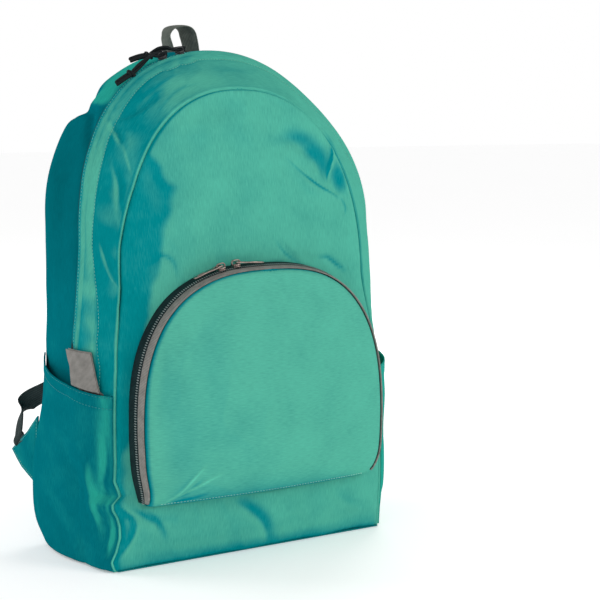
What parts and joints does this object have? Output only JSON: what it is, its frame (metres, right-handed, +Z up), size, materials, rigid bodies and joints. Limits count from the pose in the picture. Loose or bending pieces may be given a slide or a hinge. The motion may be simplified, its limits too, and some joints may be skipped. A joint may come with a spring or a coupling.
{
  "type": "packable backpack",
  "caption": "Light packable backpack with an arched two-way main zip, a domed zipped front pocket, open side pockets and a haul loop.",
  "frame": {"origin": "middle of the base at floor level", "axes": "+Z up through the bag's crown, -Y towards the front pocket, +X to the right as seen from the front"},
  "size_m": [0.3252, 0.2409, 0.4571],
  "materials": {
    "body_cloth": "thin crinkled woven nylon, satin sheen, sea green",
    "side_cloth": "the same thin nylon, bluer where it turns from the light",
    "black_zip": "woven tape and nylon coil, black",
    "grey_tape": "ribbed woven tape, grey",
    "webbing": "ribbed woven webbing, dark grey",
    "black_cord": "braided cord, black",
    "buckle_plastic": "moulded, fine satin",
    "slider_metal": "nickel plated, lightly rubbed"
  },
  "bodies": {
    "bag": {"front_panel": "body_cloth", "front_gusset": "body_cloth", "pocket_panel": "body_cloth", "back_gusset": "side_cloth", "back_panel": "side_cloth", "base_panel": "side_cloth", "left_side_pocket": "side_cloth", "right_side_pocket": "side_cloth", "left_strap_anchor": "side_cloth", "right_strap_anchor": "side_cloth", "left_shoulder_strap": "side_cloth", "right_shoulder_strap": "side_cloth", "main_zip": "black_zip", "pocket_zip_tape": "black_zip", "pocket_zip_chain": "black_zip", "pocket_binding": "grey_tape", "hem_tab": "grey_tape", "haul_loop": "webbing", "left_lower_webbing": "webbing", "right_lower_webbing": "webbing", "rear_cord": "black_cord", "rear_knot": "black_cord", "fore_cord": "black_cord", "fore_knot": "black_cord", "left_buckle": "buckle_plastic", "right_buckle": "buckle_plastic", "left_pocket_slider": "slider_metal", "right_pocket_slider": "slider_metal", "rear_slider": "slider_metal", "fore_slider": "slider_metal"},
    "left_pull": {"left_pull": "slider_metal"},
    "right_pull": {"right_pull": "slider_metal"}
  },
  "joints": [
    {"name": "left_pull_hinge", "type": "hinge", "parent": "bag", "child": "left_pull", "pos_m": [-0.04284, -0.08066, 0.25218], "axis": [0.0393, 0.9992, 0.008], "range_deg": [0, 100]},
    {"name": "right_pull_hinge", "type": "hinge", "parent": "bag", "child": "right_pull", "pos_m": [-0.02843, -0.08115, 0.25436], "axis": [-0.0281, -0.9996, -0.0029], "range_deg": [0, 100]}
  ]
}
